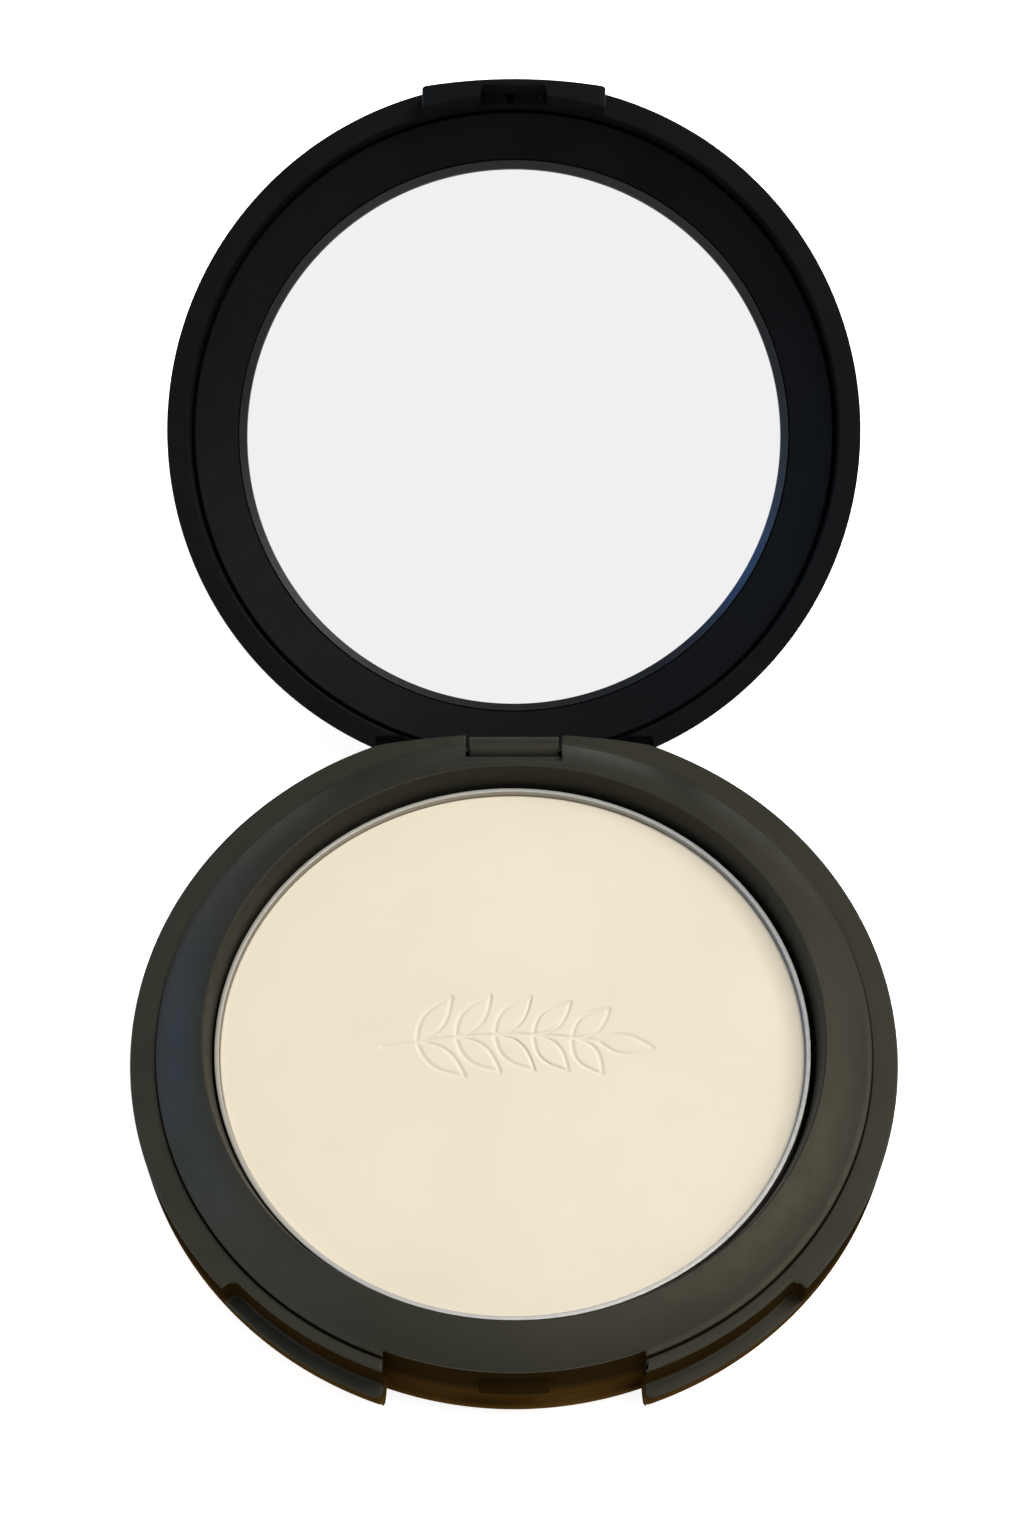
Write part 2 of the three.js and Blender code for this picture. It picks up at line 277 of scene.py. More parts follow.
def combine(obj, operation, *others):
    """A boolean of obj with each other solid, which is used up."""
    for other in others:
        modifier = obj.modifiers.new(operation, "BOOLEAN")
        modifier.operation = operation
        modifier.solver = "EXACT"
        modifier.object = other
        bpy.context.view_layer.update()
        bake_modifiers(obj)
        bpy.data.objects.remove(other)
    return obj


def off_hinge_axis(point):
    return math.hypot(point.y - HINGE.y, point.z - HINGE.z)


def in_hinge_notch(point):
    return abs(point.x) < NOTCH_HALF_X + 0.02 and off_hinge_axis(point) < 6


def in_tab_recess(point):
    return abs(point.x) < TAB_RECESS_HALF_X[1] + 0.3 and point.y < 0 and point.z < RIM_Z + 0.02


def mark_edges(obj, left_sharp):
    """Marks the edges to be rounded: all the sharp ones but those of the pin's hole,
    and those whose middle left_sharp() picks out."""
    bm = bmesh.new()
    bm.from_mesh(obj.data)
    weight = bm.edges.layers.float.new("bevel_weight_edge")
    for edge in bm.edges:
        middle = (edge.verts[0].co + edge.verts[1].co) / 2 / MM
        kept_sharp = off_hinge_axis(middle) < PIN_HOLE_R + 0.05 or left_sharp(middle)
        edge[weight] = float(edge.calc_face_angle(0) > math.radians(42) and not kept_sharp)
    bm.to_mesh(obj.data)
    bm.free()


def finish_edges(obj, width=0.12, segments=3, left_sharp=lambda point: False):
    """Small rounded edges, and smooth shading that keeps the flats flat."""
    tidy_mesh(obj, 0.004)
    if width:
        mark_edges(obj, left_sharp)
        bevel = obj.modifiers.new("edges", "BEVEL")
        bevel.width = width * MM
        bevel.segments = segments
        bevel.limit_method = "WEIGHT"
        bevel.use_clamp_overlap = False
        bevel.miter_outer = "MITER_ARC"
        bake_modifiers(obj)
    for face in obj.data.polygons:
        face.use_smooth = True
    obj.data.set_sharp_from_angle(angle=math.radians(38))
    weighted = obj.modifiers.new("normals", "WEIGHTED_NORMAL")
    weighted.keep_sharp = True
    bake_modifiers(obj)
    return obj


# ---- shared cutters ----
def back_cut():
    """Everything behind a wide arc that stays inside the flat back."""
    arc = [(BACK_ARC_R * math.sin(a), BACK_Y + BACK_ARC_R * (math.cos(a) - 1))
           for a in np.linspace(-0.5, 0.5, 65)]
    return prism("back_cut", [*arc, (FAR, FAR), (-FAR, FAR)], -FAR, FAR)


def thumb_gap():
    """The gap in the base's front, with a leaning back wall and a wall below its floor
    that slopes inwards."""
    floor = LEDGE_Z - GAP_DEPTH
    top = LEDGE_Z + GAP_DEPTH
    wall_low, wall_high = GAP_WALL_R
    lean = (wall_low - wall_high) / (GAP_DEPTH + STEP)
    ring = turned("thumb_gap", filleted([
        (wall_low, floor, 0.45), (GAP_FLOOR_R, floor, 0.35), (wall_high, GAP_FOOT_Z), (FAR, GAP_FOOT_Z),
        (FAR, top), (wall_low - lean * (top - floor), top),
    ]))
    return combine(ring, "INTERSECT", gap_sides())


def gap_sides():
    """Upright sides whose outer corners round over into the body's wall."""
    x, y = GAP_HALF_X, math.sqrt(BODY_R ** 2 - GAP_HALF_X ** 2)
    along = Vector((y, x)) / 4
    half = [(x, 0), (x, -y, GAP_CORNER), (x + along.x, along.y - y), (x + along.x, -FAR)]
    mirrored = [(-corner[0], *corner[1:]) for corner in reversed(half)]
    return prism("gap_sides", filleted([*half, *mirrored]), -FAR, FAR)


def rebate(side):
    """The step beside the thumb gap, with a rounded corner at its far end."""
    def at(radius, angle):
        return (side * radius * math.sin(angle), -radius * math.cos(angle))

    start = math.asin((GAP_HALF_X - 1) / REBATE_R)
    before_corner = REBATE_END - 1.2 * REBATE_CORNER / REBATE_R
    arc = [at(REBATE_R, angle) for angle in np.linspace(start, before_corner, 64)]
    outline = [
        *arc, (*at(REBATE_R, REBATE_END), REBATE_CORNER), at(FAR, REBATE_END), (arc[0][0], -FAR),
    ]
    return prism("rebate", filleted(outline, 8), LEDGE_Z - REBATE_DEPTH, FAR)


def stop_plane(y):
    """Height over y, from the hinge axis, of the plane where both backs meet when open."""
    reach = BACK_Y - HINGE.y + SWING_GAP
    return (reach - math.cos(OPEN) * y) / math.sin(OPEN)


def hinge_notch():
    """Room for the barrel and its web, from a cove in front to the open back."""
    span = (-NOTCH_HALF_X, NOTCH_HALF_X)
    slope = [(y, -stop_plane(y)) for y in (-1.6, 2)]
    sweep = across_hinge("hinge_notch", [
        (NOTCH_COVE[0][0], FAR), *NOTCH_COVE, *slope, (FAR, slope[-1][1]), (FAR, FAR),
    ], span)
    return combine(sweep, "UNION", hinge_cylinder("barrel_room", BARREL_ROOM_R, span))


# ---- base ----
def base_shell():
    """The cup with its ledge, cut by the gap, the rebates, the hinge and the label recess."""
    inner = RING_R + 0.02
    cup = turned("base_shell_body", [
        (0, 0), *reversed(elliptic_corner(CORNER_RISE, -CORNER_RISE)), (BODY_R, LEDGE_Z),
        (inner, LEDGE_Z), (inner, CORNER_RISE), (33.4, 1.6), (FOOT_R, WALL), (0, WALL),
    ])
    combine(cup, "UNION", hinge_blocks())
    combine(cup, "DIFFERENCE", thumb_gap(), rebate(1), rebate(-1), back_cut(), hinge_notch(),
            hinge_cylinder("pin_hole", PIN_HOLE_R, PIN_HOLE_X), label_recess())
    return finish_edges(cup, 0.2, 4)


def hinge_blocks():
    """The solid stretch inside the back wall that the pin goes through."""
    side, top = BODY_R - 0.2, LEDGE_Z - 0.35
    ring = turned("block_body", [
        (0, WALL), (36, WALL), (36.9, CORNER_RISE), (side, 6), (side, top), (0, top),
    ])
    span = block("block_span", (-BLOCK_HALF_X, BLOCK_HALF_X), (BLOCK_FRONT_Y, FAR), (-FAR, FAR))
    return combine(ring, "INTERSECT", span)


def label_recess():
    depth = 0.3
    recess = turned("label_recess", [
        (0, -1), (LABEL_RECESS_R, -1), (LABEL_RECESS_R, depth), (0, depth),
    ], 96)
    recess.data.transform(Matrix.Translation((0, LABEL_Y * MM, 0)))
    return recess


def filleted_run(corners, steps=5):
    """The filleted stretch of an open run: its first and last points only give direction."""
    return filleted(corners, steps)[1:-1]


def base_tray():
    """The well and its collar, with a skirt that drops into the shell, and the catch lug."""
    step = LEDGE_Z + STEP
    low, foot = TRAY_FLOOR_Z - 1.1, 1.5
    ring, skirt_foot = RING_R - 0.02, LEDGE_Z - GAP_DEPTH + 0.2
    dish = turned("base_tray_body", [
        (0, low), (TRAY_R, low), (TRAY_R, foot), (TRAY_WALL_R, foot), (TRAY_WALL_R, COLLAR_TOP_Z - 1.5),
        (SKIRT_R, LEDGE_Z - 0.2), (SKIRT_R, skirt_foot), (ring, skirt_foot), (ring, step),
        *collar_curve(step),
        *filleted_run([(32, COLLAR_TOP_Z - 0.7), (WELL_R + 0.1, COLLAR_TOP_Z, 0.2), (30.1, 10.2)]),
        (30.0, PAN_HIGH.z + 0.2), (29.95, TRAY_FLOOR_Z), (0, TRAY_FLOOR_Z),
    ])
    side = BLOCK_HALF_X + FIT
    room = block("block_room", (-side, side), (BLOCK_FRONT_Y - FIT, FAR), (-FAR, LEDGE_Z - 0.3))
    combine(dish, "DIFFERENCE", thumb_gap(), hinge_notch(), room)
    combine(dish, "UNION", catch_lug())
    return finish_edges(dish, left_sharp=in_hinge_notch)


def collar_curve(step):
    """The collar's slightly domed slope, from the step up towards the well's edge."""
    outer, inner = Vector((RING_R - 0.35, step + 0.03)), Vector((WELL_R + 0.5, COLLAR_TOP_Z - 0.12))
    crown, steps = 0.2, 12
    points = []
    for k in range(steps + 1):
        t = k / steps
        p = outer.lerp(inner, t)
        p.y += crown * 4 * t * (1 - t)
        points.append(tuple(p))
    return points


def catch_lug():
    """The small ledge in the thumb gap that the tab's recess clears."""
    low, high, root = LEDGE_Z - 2.4, LEDGE_Z - 1.1, 34.1
    ring = turned("catch_lug", filleted([
        (root, low), (LUG_TIP_R, low, 0.3), (LUG_TIP_R, high, 0.4), (root, high),
    ]))
    span = block("lug_span", (-LUG_HALF_X, LUG_HALF_X), (-FAR, 0), (-FAR, FAR))
    return combine(ring, "INTERSECT", span)


def powder_pan():
    """A thin-walled metal cup."""
    r, low, top = PAN_R, PAN_LOW.z, PAN_HIGH.z
    inner, floor = r - PAN_RIM, low + 0.5
    pan = turned("powder_pan_cup", filleted([
        (0, low), (r, low, 0.8), (r, top, 0.08), (inner, top, 0.06), (inner, floor, 0.4), (0, floor),
    ]))
    pan.data.transform(Matrix.Translation(Vector(PAN_SHIFT) * MM))
    return finish_edges(pan, 0)


def powder_cake():
    """A turned cake whose top carries a thin pressed line drawing."""
    r, top, low = PAN_R - PAN_RIM - 0.01, POWDER_TOP_Z, PAN_LOW.z + 0.55
    edge = filleted_run([(r - 4, top), (r, top, 0.25), (r, top - 2)], 8)
    rings = [(q, top) for q in np.arange(0.0, MOTIF_REACH, MOTIF_GRID)]
    rings += [(q, top) for q in np.linspace(MOTIF_REACH, r - 0.6, 24)]
    outline = [*rings, *edge, (r, low + 0.9), (r - 0.7, low), (0, low)]
    cake = turned("powder_cake_body", outline, 640)
    points = np.empty(len(cake.data.vertices) * 3)
    cake.data.vertices.foreach_get("co", points)
    points = points.reshape(-1, 3)
    on_top = (points[:, 2] > (top - 0.001) * MM) & (np.hypot(*points[:, :2].T) < MOTIF_REACH * MM)
    points[on_top, 2] -= groove_depth(points[on_top, :2] / MM) * MM
    cake.data.vertices.foreach_set("co", points.ravel())
    cake.data.transform(Matrix.Translation(Vector(PAN_SHIFT) * MM))
    for face in cake.data.polygons:
        face.use_smooth = True
    return cake


def leaf(foot, angle, length, width):
    """The outline of a pointed leaf as a run of points."""
    along = np.linspace(0, 1, 17)
    side = width / 2 * np.sin(math.pi * along) * (1 - 0.25 * along)
    ring = np.vstack([np.column_stack([along * length, side]),
                      np.column_stack([along * length, -side])[::-1]])
    c, s = math.cos(angle), math.sin(angle)
    return ring @ np.array([[c, s], [-s, c]]) + foot


def motif_lines():
    """A plain sprig: a gently curved stem with pairs of leaves and one at its tip."""
    def stem(t):
        return np.array([-13 + 21.5 * t, 1.5 * math.sin(2.6 * t) - 1.2])

    lines = [np.array([stem(t) for t in np.linspace(0, 1, 25)])]
    for t in np.linspace(0.16, 0.88, 5):
        dx, dy = stem(t + 0.01) - stem(t)
        heading = math.atan2(dy, dx)
        size = 6.4 - 1.6 * t
        lines += [leaf(stem(t), heading + side * 0.82, size, 2.5) for side in (1, -1)]
    dx, dy = stem(1) - stem(0.99)
    return [*lines, leaf(stem(1), math.atan2(dy, dx), 5.6, 2.4)]


def groove_depth(points):
    """How deep the drawing's lines are pressed at each (x, y) point."""
    nearest = np.full(len(points), FAR)
    for line in motif_lines():
        for a, b in zip(line[:-1], line[1:]):
            along = b - a
            t = np.clip((points - a) @ along / max(along @ along, 1e-12), 0, 1)
            gap = np.hypot(*(points - a - t[:, None] * along).T)
            nearest = np.minimum(nearest, gap)
    ramp = np.clip(1 - nearest / (MOTIF_LINE / 2), 0, 1)
    return MOTIF_DEPTH * ramp * ramp * (3 - 2 * ramp)


# ---- lid, built closed on the base and then turned open ----
def lid_cover():
    """The lid's cap with its tab and knuckle, cut where it swings past the base."""
    top = RIM_Z + LID_T
    under = top - WALL
    cap = turned("lid_cover_body", [
        (LID_WALL_R, RIM_Z), (BODY_R, RIM_Z), *elliptic_corner(top - CORNER_RISE, CORNER_RISE),
        (0, top), (0, under), (LID_WALL_R - 1, under), (LID_WALL_R, under - 1),
    ])
    combine(cap, "UNION", lid_tab())
    for span in ((-RELIEF_HALF_X, -BARREL_HALF_X), (BARREL_HALF_X, RELIEF_HALF_X)):
        combine(cap, "DIFFERENCE", *swing_relief(span))
    combine(cap, "DIFFERENCE", back_cut())
    combine(cap, "UNION", lid_knuckle())
    combine(cap, "DIFFERENCE", hinge_cylinder("pin_hole", PIN_HOLE_R, (-6, 6)))
    return opened(finish_edges(cap, 0.18, 4, in_tab_recess))


def swing_relief(span):
    """Room beside the barrel for the base's blocks, up to the plane where the backs meet."""
    front, back = -3, 9
    low = -3
    wedge = across_hinge("relief", [
        (front, low), (back, low), (back, stop_plane(back)), (front, stop_plane(front)),
    ], span)
    swept = math.hypot(BACK_Y - HINGE.y, LEDGE_Z - HINGE.z) + SWING_GAP
    return wedge, hinge_cylinder("swept", swept, span)


def lid_tab():
    """The tab on the lid's rim that fills the thumb gap, with a recess for the lug."""
    inner, outer = TAB_R
    low = RIM_Z - TAB_DROP
    root = RIM_Z + 0.6
    ring = turned("lid_tab", filleted([
        (inner, low, 0.15), (BODY_R, low), (BODY_R, root), (inner, root),
    ]))
    flatter = turned("tab_outer_face", filleted([
        (0, low), (TAB_FACE_R, low, 0.3), (TAB_FACE_R, root), (0, root),
    ]), 2 * ROUND)
    flatter.data.transform(Matrix.Translation((0, (TAB_FACE_R - outer) * MM, 0)))
    w, corner = TAB_HALF_X, 0.7
    face = prism("tab_span", filleted([
        (-w, low, corner), (w, low, corner), (w, RIM_Z + 2), (-w, RIM_Z + 2),
    ]), 0, FAR, lambda x, z, y: (x, -y, z))
    combine(ring, "INTERSECT", flatter, face)
    foot, mouth = TAB_RECESS_HALF_X
    half = [(foot, -inner - TAB_RECESS_DEPTH), (mouth, -inner), (mouth, -inner + 0.6)]
    mirrored = [(-x, y) for x, y in reversed(half)]
    return combine(ring, "DIFFERENCE", prism("tab_recess", [*mirrored, *half], 0, RIM_Z))


def lid_knuckle():
    """The barrel around the pin, and the web that joins it to the lid."""
    span = (-BARREL_HALF_X, BARREL_HALF_X)
    back = BACK_Y - HINGE.y
    web = across_hinge("web", [(-BARREL_R, 0), (back, 0), (back, 4), (0.7, 4), (0.7, 2.9),
                               (-1.1, 2.9), (-BARREL_R, 2.4)], span)
    return combine(web, "UNION", hinge_cylinder("barrel", BARREL_R, span))


def mirror_frame():
    """The sloping band that holds the mirror, with a fine groove where its lip begins."""
    r, top = LID_WALL_R - FIT, RIM_Z + LID_T - WALL - FIT
    face = RIM_Z + MIRROR_Z - FIT / 2
    seat_r = MIRROR_R + 0.3
    lip = [(30.55, RIM_Z + 4.1, 0.05), (30.66, RIM_Z + 4.3), (30.74, RIM_Z + 4.05, 0.04)]
    ring = turned("mirror_frame_ring", filleted([
        *lip, (35.15, RIM_Z + 1.9, 0.12), (r, RIM_Z + 2.25, 0.1), (r, top - 1), (r - 1, top),
        (seat_r, top), (seat_r, face), (SIGHT_R, face, 0.03), (SIGHT_R, RIM_Z + 4.72, 0.08),
    ]))
    return opened(finish_edges(ring, 0))


def mirror_glass():
    low = RIM_Z + MIRROR_Z
    high = low + MIRROR_T
    glass = turned("mirror_disc", filleted([
        (0, low), (MIRROR_R, low, 0.15), (MIRROR_R, high, 0.15), (0, high),
    ]))
    return opened(finish_edges(glass, 0))


def opening_turn():
    axis = HINGE * MM
    return Matrix.Translation(axis) @ Matrix.Rotation(-OPEN, 4, "X") @ Matrix.Translation(-axis)


def opened(obj):
    """Turns a piece that was built closed to the open rest pose."""
    obj.data.transform(opening_turn())
    return obj


# ---- materials ----
def set_range(node, *numbers):
    """Fills in a Map Range node: from low, from high, to low, to high."""
    for socket, number in zip(("From Min", "From Max", "To Min", "To Max"), numbers):
        node.inputs[socket].default_value = number


class Shader:
    """A Principled material with short ways to add the nodes that drive it."""

    def __init__(self, name, colour, roughness, **sockets):
        self.material = bpy.data.materials.new(name)
        self.material.use_nodes = True
        self.tree = self.material.node_tree
        self.principled = self.tree.nodes["Principled BSDF"]
        self.principled.inputs["Base Color"].default_value = (*colour, 1)
        self.principled.inputs["Roughness"].default_value = roughness
        for socket, value in sockets.items():
            self.principled.inputs[socket.replace("_", " ")].default_value = value
        self.place = self.node("ShaderNodeTexCoord").outputs["Object"]

    def node(self, kind, **settings):
        made = self.tree.nodes.new(kind)
        for key, value in settings.items():
            setattr(made, key, value)
        return made

    def link(self, out, into):
        self.tree.links.new(out, into)

    def noise(self, size_mm, detail=2.0, roughness=0.5):
        made = self.node("ShaderNodeTexNoise")
        made.inputs["Scale"].default_value = 1 / (size_mm * MM)
        made.inputs["Detail"].default_value = detail
        made.inputs["Roughness"].default_value = roughness
        self.link(self.place, made.inputs["Vector"])
        return made.outputs["Fac"]

    def ranged(self, value, low, high, new_low, new_high):
        made = self.node("ShaderNodeMapRange")
        self.link(value, made.inputs["Value"])
        set_range(made, low, high, new_low, new_high)
        return made.outputs["Result"]

    def ramp(self, value, *stops):
        made = self.node("ShaderNodeValToRGB")
        elements = made.color_ramp.elements
        while len(elements) < len(stops):
            elements.new(0.5)
        for element, (position, colour) in zip(elements, stops):
            element.position = position
            element.color = (*colour, 1)
        self.link(value, made.inputs["Fac"])
        return made.outputs["Color"]

    def height(self):
        split = self.node("ShaderNodeSeparateXYZ")
        self.link(self.place, split.inputs[0])
        return split.outputs["Z"]

    def mixed(self, factor, first, second):
        made = self.node("ShaderNodeMix", data_type="RGBA")
        self.link(factor, made.inputs["Factor"])
        for socket, colour in zip((s for s in made.inputs if s.type == "RGBA"), (first, second)):
            self.link(colour, socket)
        return next(s for s in made.outputs if s.type == "RGBA")

    def bump(self, height, distance_mm, strength=1.0, normal=None):
        made = self.node("ShaderNodeBump")
        made.inputs["Distance"].default_value = distance_mm * MM
        made.inputs["Strength"].default_value = strength
        self.link(height, made.inputs["Height"])
        if normal:
            self.link(normal, made.inputs["Normal"])
        return made.outputs["Normal"]

    def drive(self, socket, out):
        self.link(out, self.principled.inputs[socket])

    def shades(self, noise, colour, darker, lighter):
        """A colour that the noise takes from darker to lighter, both as factors."""
        return self.ramp(noise, (0.3, scaled(colour, darker)), (0.7, scaled(colour, lighter)))

    def vary_roughness(self, noise, low, high):
        self.drive("Roughness", self.ranged(noise, 0.3, 0.7, low, high))


def scaled(colour, factor):
    return tuple(c * factor for c in colour)


def moulded_plastic(name, colour, roughness, specular, tint=(1, 1, 1), warm_reflection_colour=None):
    """Matte moulded plastic: fine spark-eroded grain, faint mottling and handling marks.
    A low colour, a painted warm reflection of light from below, takes over towards the foot of the
    piece."""
    shader = Shader(name, colour, roughness, Specular_IOR_Level=specular, Specular_Tint=(*tint, 1))
    mottle = shader.noise(9, 3)
    face = shader.shades(mottle, colour, 0.88, 1.12)
    if warm_reflection_colour:
        low = shader.shades(mottle, warm_reflection_colour, 0.85, 1.15)
        # Painted warm reflection: fades in below 6.5 mm and is full below 3.5 mm.
        warm_reflection_weight = shader.ranged(shader.height(), 3.5 * MM, 6.5 * MM, 1, 0)
        face = shader.mixed(warm_reflection_weight, face, low)
    shader.drive("Base Color", face)
    shader.vary_roughness(shader.noise(2.2, 5, 0.65), roughness - 0.05, roughness + 0.06)
    grain = shader.noise(0.22, 2, 0.6)
    shader.drive("Normal", shader.bump(grain, 0.012, 0.7))
    return shader.material


def pressed_powder():
    colour = (0.645, 0.583, 0.468)
    shader = Shader("pressed_powder", colour, 0.95, Specular_IOR_Level=0.15)
    shader.drive("Base Color", shader.shades(shader.noise(14, 4), colour, 0.97, 1.02))
    shader.vary_roughness(shader.noise(1.5, 4), 0.9, 1.0)
    coarse = shader.bump(shader.noise(1.1, 4, 0.55), 0.02, 0.35)
    shader.drive("Normal", shader.bump(shader.noise(0.16, 3, 0.7), 0.012, 0.6, coarse))
    return shader.material


def stamped_metal():
    shader = Shader("stamped_metal", (0.38, 0.365, 0.33), 0.56, Metallic=1.0)
    shader.vary_roughness(shader.noise(0.7, 4), 0.5, 0.64)
    shader.drive("Normal", shader.bump(shader.noise(0.3, 3), 0.004, 0.5))
    return shader.material


def silvered_mirror():
    shader = Shader("silvered_mirror", (0.72, 0.722, 0.72), 0.02, Metallic=1.0)
    shader.drive("Roughness", shader.ranged(shader.noise(12, 4), 0.35, 0.75, 0.008, 0.03))
    return shader.material


def plain_surface(name, colour, roughness, grain_mm, **sockets):
    """Simple surface with fine grain, for pieces that are mostly hidden."""
    shader = Shader(name, colour, roughness, **sockets)
    shader.drive("Base Color", shader.shades(shader.noise(grain_mm * 8), colour, 0.93, 1.05))
    shader.vary_roughness(shader.noise(grain_mm * 3), roughness - 0.04, min(1, roughness + 0.05))
    shader.drive("Normal", shader.bump(shader.noise(grain_mm), 0.01, 0.4))
    return shader.material


def floor_paper():
    colour = (0.94, 0.94, 0.94)
    shader = Shader("floor_paper", colour, 0.9, Specular_IOR_Level=0.05, Emission_Color=(1, 1, 1, 1),
                    Emission_Strength=0.8)
    shader.drive("Base Color", shader.shades(shader.noise(1.5), colour, 0.997, 1))
    return shader.material


def dress(obj, material):
    obj.data.materials.clear()
    obj.data.materials.append(material)


# ---- assembly ----
def dress_knuckle(cover, material):
    """The barrel and web take the base's lighter copy of the plastic, painted light against the darker
    painted-shade copy on the rest of the cover; they lie close to the hinge axis.
    """
    cover.data.materials.append(material)
    for face in cover.data.polygons:
        x, y, z = face.center / MM - HINGE
        face.material_index = int(abs(x) < BARREL_HALF_X + 0.01 and math.hypot(y, z) < 2.4)


def dress_outer_walls(part, material):
    """Walls below the ledge, the thumb gap's floor and the lug are browner and duller: the brown on the
    walls and the gap's floor is a painted warm reflection, and the lug's darker colour is painted
    shade.
    """
    part.data.materials.append(material)
    for face in part.data.polygons:
        x, y, z = face.center / MM
        gap_floor = z < LEDGE_Z - GAP_DEPTH + 0.6
        lug = abs(x) < LUG_HALF_X + 0.01
        outside = math.hypot(x, y) > 34 and z < LEDGE_Z - 0.1
        face.material_index = int(outside and (face.normal.z < 0.35 or gap_floor or lug))


def dress_bezel_lip(bezel, material):
    """The narrow slope next to the mirror is polished."""
    bezel.data.materials.append(material)
    closed = opening_turn().inverted()
    for face in bezel.data.polygons:
        x, y, z = (closed @ face.center) / MM
        face.material_index = int(math.hypot(x, y) < LIP_R and z < RIM_Z + MIRROR_Z)


def place(piece, node, body, slot, material):
    dress(piece, material)
    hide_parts(node)
    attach(piece, body)


# One black plastic in two copies: the base's is lighter and warmer, with a warm tint on its sheen, as
# painted light; the lid's is darker and cooler, as painted shade.
BASE_BLACK = moulded_plastic("base_black", (0.0142, 0.0138, 0.0103), 0.5, 0.18, (1, 0.93, 0.66))
# Painted warm reflection and painted shade: a darker, brown copy of the base plastic for the lower
# walls, the gap's floor and the lug, warmer towards the foot.
WALL_REFLECTION_AND_SHADE = moulded_plastic("wall_painted_reflection_and_shade", (0.0125, 0.0074, 0.0022), 0.6, 0.0, (1, 0.6, 0.25),
                             (0.056, 0.028, 0.006))
# Painted shade: the lid's darker, cooler copy of the base's plastic.
LID_SHADED_BLACK = moulded_plastic("lid_black_painted_shade", (0.0042, 0.0045, 0.005), 0.5, 0.026, (0.9, 0.95, 1))
MIRROR_EDGE = moulded_plastic("mirror_edge_black", (0.006, 0.007, 0.008), 0.35, 0.2)

for part, node in ((base_shell(), "base_shell"), (base_tray(), "base_tray")):
    place(part, node, "base", "base_plastic", BASE_BLACK)
    dress_outer_walls(part, WALL_REFLECTION_AND_SHADE)
place(powder_pan(), "powder_pan", "base", "pan_metal", stamped_metal())
place(powder_cake(), "powder_cake", "base", "powder", pressed_powder())
cover = lid_cover()
place(cover, "lid_cover", "lid", "lid_plastic", LID_SHADED_BLACK)
dress_knuckle(cover, BASE_BLACK)
bezel = mirror_frame()
place(bezel, "mirror_frame", "lid", "lid_plastic", LID_SHADED_BLACK)
dress_bezel_lip(bezel, MIRROR_EDGE)
place(mirror_glass(), "mirror_glass", "lid", "mirror", silvered_mirror())

PIN_STEEL = plain_surface("pin_steel", (0.035, 0.035, 0.037), 0.4, 0.2, Metallic=1.0)
LABEL_PAPER = plain_surface("label_paper", (0.82, 0.82, 0.8), 0.7, 0.15)
FOAM_TAPE = plain_surface("foam_tape", (0.8, 0.8, 0.78), 0.85, 0.3)
GLUE = plain_surface("hot_melt", (0.75, 0.7, 0.56), 0.4, 0.6)
CARRIED_OVER = {"hinge_pin": PIN_STEEL, "bottom_label": LABEL_PAPER, "mirror_tape": FOAM_TAPE}
for name, node in frame["nodes"].items():
    if name.startswith("pan_glue_dot"):
        dress(node, GLUE)
    elif name in CARRIED_OVER:
        dress(node, CARRIED_OVER[name])


# ---- studio ----
def floor():
    half = 12000
    corners = [(-half, -half, 0), (half, -half, 0), (half, half, 0), (-half, half, 0)]
    plane = new_object("floor", corners, [[0, 1, 2, 3]])
    dress(plane, floor_paper())


def area_light(name, azimuth, elevation, distance, size, radiance, colour, on_gloss_only=False):
    """A square soft light, size and distance in metres. Azimuth 0 is in front, 90 on the left."""
    light = bpy.data.lights.new(name, "AREA")
    light.size = size
    light.energy = radiance * math.pi * size * size
    light.color = colour
    aim = (Vector(cad_box[0]) + Vector(cad_box[1])) / 2
    obj = bpy.data.objects.new(name, light)
    a, e = math.radians(azimuth), math.radians(elevation)
    back = Vector((-math.sin(a) * math.cos(e), -math.cos(a) * math.cos(e), math.sin(e)))
    obj.location = aim + back * distance
    obj.rotation_euler = back.to_track_quat("Z", "Y").to_euler()
    obj.visible_diffuse = not on_gloss_only
    bpy.context.scene.collection.objects.link(obj)


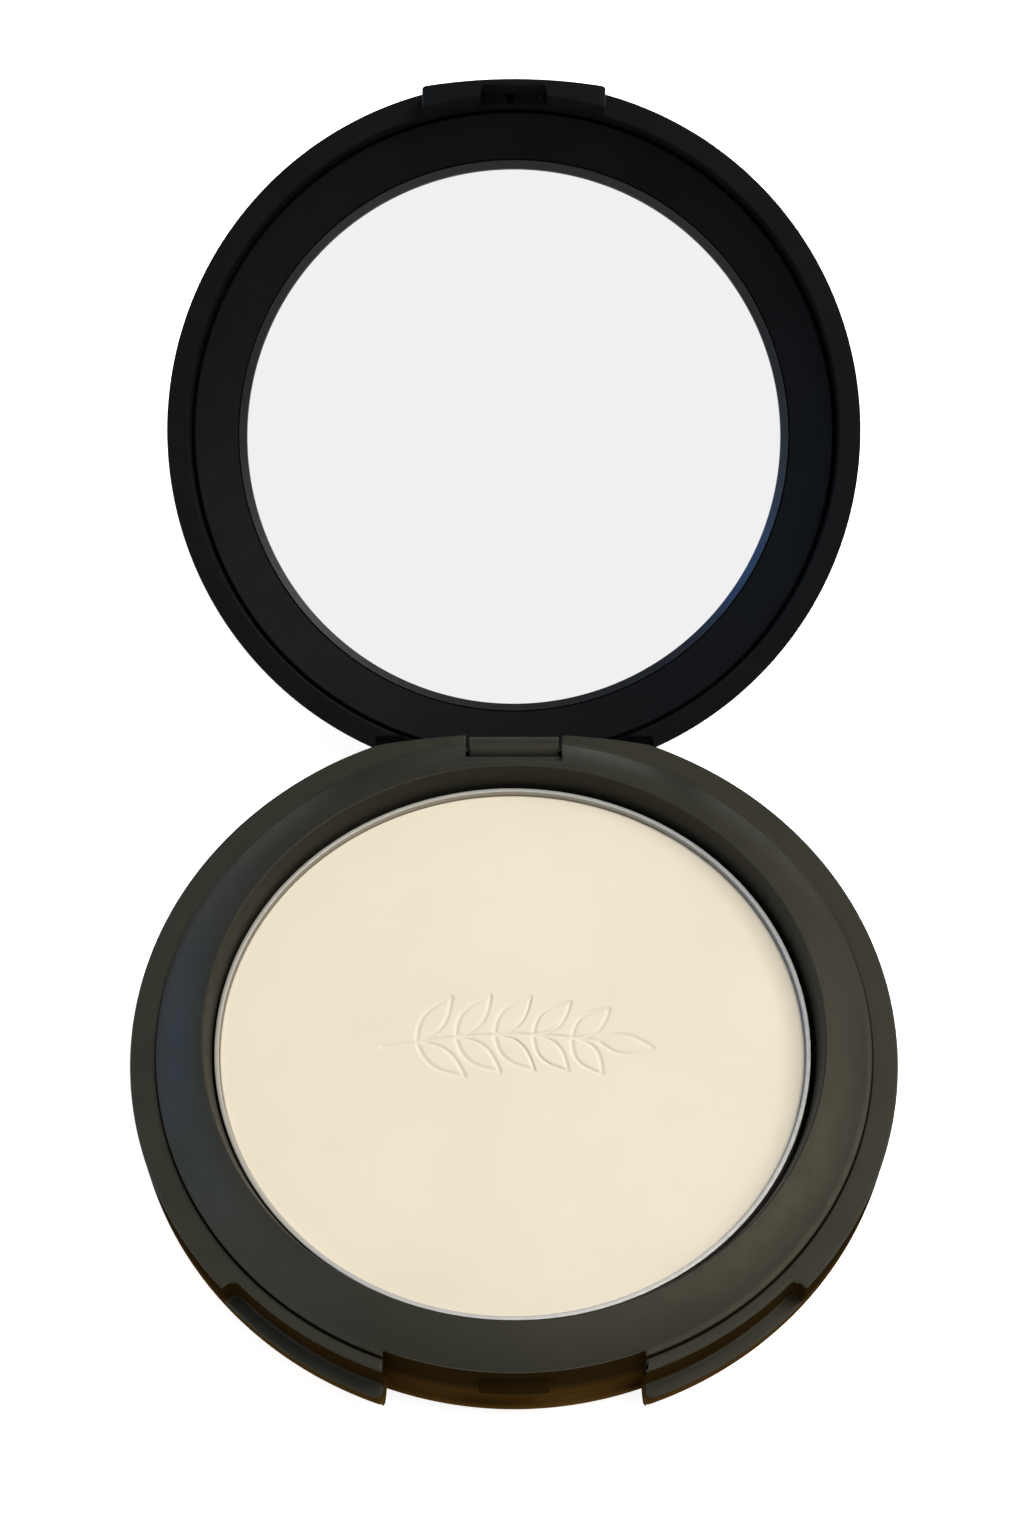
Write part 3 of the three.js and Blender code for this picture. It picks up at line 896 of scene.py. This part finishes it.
def studio_world(horizon, overhead):
    """A plain white room with one strength along the horizon and another overhead."""
    world = bpy.data.worlds.new("studio")
    world.use_nodes = True
    nodes, links = world.node_tree.nodes, world.node_tree.links
    split = nodes.new("ShaderNodeSeparateXYZ")
    level = nodes.new("ShaderNodeMapRange")
    level.interpolation_type = "SMOOTHSTEP"
    horizon_end, overhead_start = 0.08, 0.25
    set_range(level, horizon_end, overhead_start, horizon, overhead)
    links.new(nodes.new("ShaderNodeTexCoord").outputs["Generated"], split.inputs[0])
    links.new(split.outputs["Z"], level.inputs["Value"])
    links.new(level.outputs["Result"], nodes["Background"].inputs["Strength"])
    nodes["Background"].inputs["Color"].default_value = (1, 1, 1, 1)
    bpy.context.scene.world = world


def camera():
    """Aimed just in front of the hinge, so that the parts lie in the frame as in the photo."""
    aim = Vector((-0.2, 31.86, LEDGE_Z)) * MM
    elevation, distance = math.radians(54.98), 0.232
    back = Vector((0, -math.cos(elevation), math.sin(elevation)))
    data = bpy.data.cameras.new("camera")
    data.sensor_width = 36
    data.lens = 50.41
    data.clip_start = 0.01
    obj = bpy.data.objects.new("camera", data)
    obj.location = aim + back * distance
    obj.rotation_euler = back.to_track_quat("Z", "Y").to_euler()
    bpy.context.scene.collection.objects.link(obj)
    bpy.context.scene.camera = obj


floor()
studio_world(1.0, 0.35)
camera()
area_light("key_right", azimuth=258, elevation=57, distance=1.6, size=1.2, radiance=8.0,
           colour=(1, 0.985, 0.95))
area_light("rear_strip", azimuth=180, elevation=12, distance=1.2, size=0.45, radiance=4.0,
           colour=(1, 0.98, 0.9))
area_light("front_panel", azimuth=0, elevation=61.5, distance=0.9, size=0.8, radiance=0.86,
           colour=(1, 1, 1), on_gloss_only=True)
area_light("left_fill", azimuth=80, elevation=42, distance=0.9, size=0.6, radiance=3.6,
           colour=(0.6, 0.8, 1), on_gloss_only=True)
area_light("left_blue", azimuth=115, elevation=30, distance=0.9, size=0.25, radiance=16.0,
           colour=(0.05, 0.3, 1), on_gloss_only=True)
bpy.context.scene.view_settings.view_transform = "Standard"
